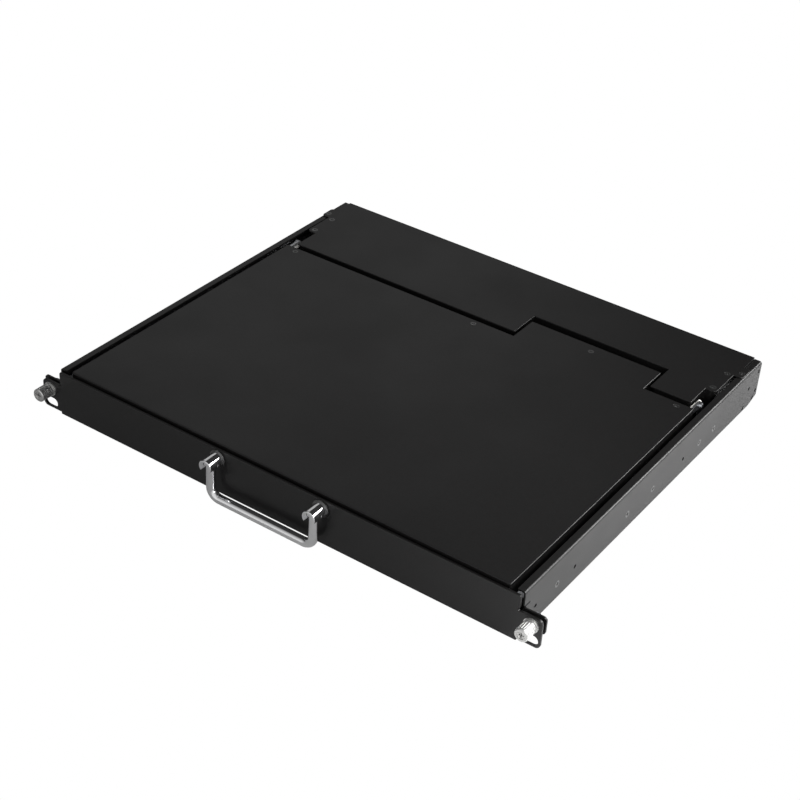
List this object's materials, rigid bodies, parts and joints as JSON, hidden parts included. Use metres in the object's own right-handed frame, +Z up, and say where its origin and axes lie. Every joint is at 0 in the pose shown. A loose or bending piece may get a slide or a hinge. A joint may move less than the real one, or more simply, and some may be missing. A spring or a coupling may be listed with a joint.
{
  "type": "rackmount lcd console drawer",
  "caption": "Low black rack drawer with a hinged screen lid over a keyboard tray, ball slides, a stepped rear housing, captive thumbscrews and a chrome bail handle.",
  "frame": {"origin": "middle of the two rack slots, on the rear face of the front panel where it meets the rack rails", "axes": "+X to the right along the panel, +Y into the rack, +Z up"},
  "size_m": [0.4844, 0.4127, 0.0501],
  "materials": {
    "black_coat": "fine textured powder coat, satin",
    "lid_coat": "fine textured powder coat, satin",
    "chrome_plate": "bright plated",
    "nickel_plate": "nickel plated, turned",
    "black_screw": "black oxide, satin",
    "zinc_steel": "zinc plated, satin",
    "bearing_steel": "polished",
    "key_plastic": "fine matt",
    "bezel_plastic": "satin",
    "lcd_glass": "anti-glare",
    "bumper_rubber": "matt",
    "cable_jacket": "smooth",
    "board_green": "solder mask",
    "port_shell": "nickel plated",
    "rocker_plastic": "smooth"
  },
  "bodies": {
    "chassis": {"left_side_wall": "black_coat", "right_side_wall": "black_coat", "tie_bar": "black_coat", "tie_bar_rivets": "black_screw", "housing_frame": "black_coat", "housing_floor": "black_coat", "rear_cover": "black_coat", "rear_cover_screws": "black_screw", "rear_panel": "black_coat", "wall_screws": "black_screw", "ear_inserts": "zinc_steel", "switch_board": "board_green", "rear_ports": "port_shell", "left_slide_outer": "zinc_steel", "right_slide_outer": "zinc_steel"},
    "drawer": {"front_panel": "black_coat", "thumbscrew_ferrules": "nickel_plate", "handle_posts": "chrome_plate", "handle_base_washers": "black_screw", "handle_screws": "black_screw", "handle_pivot_pins": "chrome_plate", "tray": "black_coat", "tray_screws": "zinc_steel", "keyboard_deck": "black_coat", "keyboard_base": "key_plastic", "keycaps": "key_plastic", "touchpad": "bezel_plastic", "lid_bumpers": "bumper_rubber", "left_slide_inner": "zinc_steel", "right_slide_inner": "zinc_steel", "left_hinge_base": "zinc_steel", "right_hinge_base": "zinc_steel", "hinge_pins": "zinc_steel", "hinge_rivets": "zinc_steel", "tray_cables": "cable_jacket"},
    "slide_middles": {"left_slide_middle": "zinc_steel", "right_slide_middle": "zinc_steel"},
    "outer_cages": {"outer_ball_cages": "bearing_steel"},
    "inner_cages": {"inner_ball_cages": "bearing_steel"},
    "lid": {"lid_shell": "lid_coat", "lid_screws": "black_screw", "lcd_bezel": "bezel_plastic", "lcd_panel": "lcd_glass", "lcd_driver_board": "board_green", "left_hinge_leaf": "zinc_steel", "right_hinge_leaf": "zinc_steel", "lid_cables": "cable_jacket"},
    "bail": {"bail_handle": "chrome_plate"},
    "left_washer": {"left_knob_washer": "nickel_plate"},
    "right_washer": {"right_knob_washer": "nickel_plate"},
    "left_screw": {"left_thumbscrew": "nickel_plate"},
    "right_screw": {"right_thumbscrew": "nickel_plate"},
    "space_key": {"space_bar": "key_plastic"},
    "left_button": {"left_pad_button": "key_plastic"},
    "right_button": {"right_pad_button": "key_plastic"},
    "menu_button": {"osd_menu_button": "key_plastic"},
    "minus_button": {"osd_minus_button": "key_plastic"},
    "plus_button": {"osd_plus_button": "key_plastic"},
    "power_button": {"osd_power_button": "key_plastic"},
    "rocker": {"power_rocker": "rocker_plastic"}
  },
  "joints": [
    {"name": "drawer_slide", "type": "slide", "parent": "chassis", "child": "drawer", "axis": [0, -1, 0], "range_m": [0, 0.31]},
    {"name": "middle_slide", "type": "slide", "parent": "chassis", "child": "slide_middles", "axis": [0, -1, 0], "range_m": [0, 0.155]},
    {"name": "outer_cage_roll", "type": "slide", "parent": "chassis", "child": "outer_cages", "axis": [0, -1, 0], "range_m": [0, 0.0775]},
    {"name": "inner_cage_roll", "type": "slide", "parent": "chassis", "child": "inner_cages", "axis": [0, -1, 0], "range_m": [0, 0.2325]},
    {"name": "lid_hinge", "type": "hinge", "parent": "drawer", "child": "lid", "pos_m": [0, 0.299, 0.0314], "axis": [-1, 0, 0], "range_deg": [0, 108]},
    {"name": "bail_swing", "type": "hinge", "parent": "drawer", "child": "bail", "pos_m": [-0.003, -0.0106, 0.0252], "axis": [-1, 0, 0], "range_deg": [0, 90]},
    {"name": "left_screw_travel", "type": "slide", "parent": "drawer", "child": "left_washer", "axis": [0, -1, 0], "range_m": [0, 0.005]},
    {"name": "left_screw_turn", "type": "hinge", "parent": "left_washer", "child": "left_screw", "pos_m": [-0.23255, -0.002, 0.0128], "axis": [0, -1, 0], "range_deg": [0, 1800]},
    {"name": "right_screw_travel", "type": "slide", "parent": "drawer", "child": "right_washer", "axis": [0, -1, 0], "range_m": [0, 0.005]},
    {"name": "right_screw_turn", "type": "hinge", "parent": "right_washer", "child": "right_screw", "pos_m": [0.23255, -0.002, 0.0128], "axis": [0, -1, 0], "range_deg": [0, 1800]},
    {"name": "space_press", "type": "slide", "parent": "drawer", "child": "space_key", "axis": [0, 0, -1], "range_m": [0, 0.0012], "stiffness_N_per_m": 400, "springref_m": -0.0006},
    {"name": "left_button_press", "type": "slide", "parent": "drawer", "child": "left_button", "axis": [0, 0, -1], "range_m": [0, 0.0005], "stiffness_N_per_m": 800, "springref_m": -0.0005},
    {"name": "right_button_press", "type": "slide", "parent": "drawer", "child": "right_button", "axis": [0, 0, -1], "range_m": [0, 0.0005], "stiffness_N_per_m": 800, "springref_m": -0.0005},
    {"name": "menu_press", "type": "slide", "parent": "lid", "child": "menu_button", "axis": [0, 0, 1], "range_m": [0, 0.0005], "stiffness_N_per_m": 600, "springref_m": -0.0005},
    {"name": "minus_press", "type": "slide", "parent": "lid", "child": "minus_button", "axis": [0, 0, 1], "range_m": [0, 0.0005], "stiffness_N_per_m": 600, "springref_m": -0.0005},
    {"name": "plus_press", "type": "slide", "parent": "lid", "child": "plus_button", "axis": [0, 0, 1], "range_m": [0, 0.0005], "stiffness_N_per_m": 600, "springref_m": -0.0005},
    {"name": "power_press", "type": "slide", "parent": "lid", "child": "power_button", "axis": [0, 0, 1], "range_m": [0, 0.0005], "stiffness_N_per_m": 600, "springref_m": -0.0005},
    {"name": "rocker_tilt", "type": "hinge", "parent": "chassis", "child": "rocker", "pos_m": [0.12, 0.386, 0.0117], "axis": [0, 0, 1], "range_deg": [0, 9]}
  ],
  "couplings": [
    {"joint": "middle_slide", "follows": "drawer_slide", "ratio": 0.5},
    {"joint": "outer_cage_roll", "follows": "drawer_slide", "ratio": 0.25},
    {"joint": "inner_cage_roll", "follows": "drawer_slide", "ratio": 0.75},
    {"joint": "left_screw_turn", "follows": "left_screw_travel", "rad_per_m": 6283.2},
    {"joint": "right_screw_turn", "follows": "right_screw_travel", "rad_per_m": 6283.2}
  ]
}
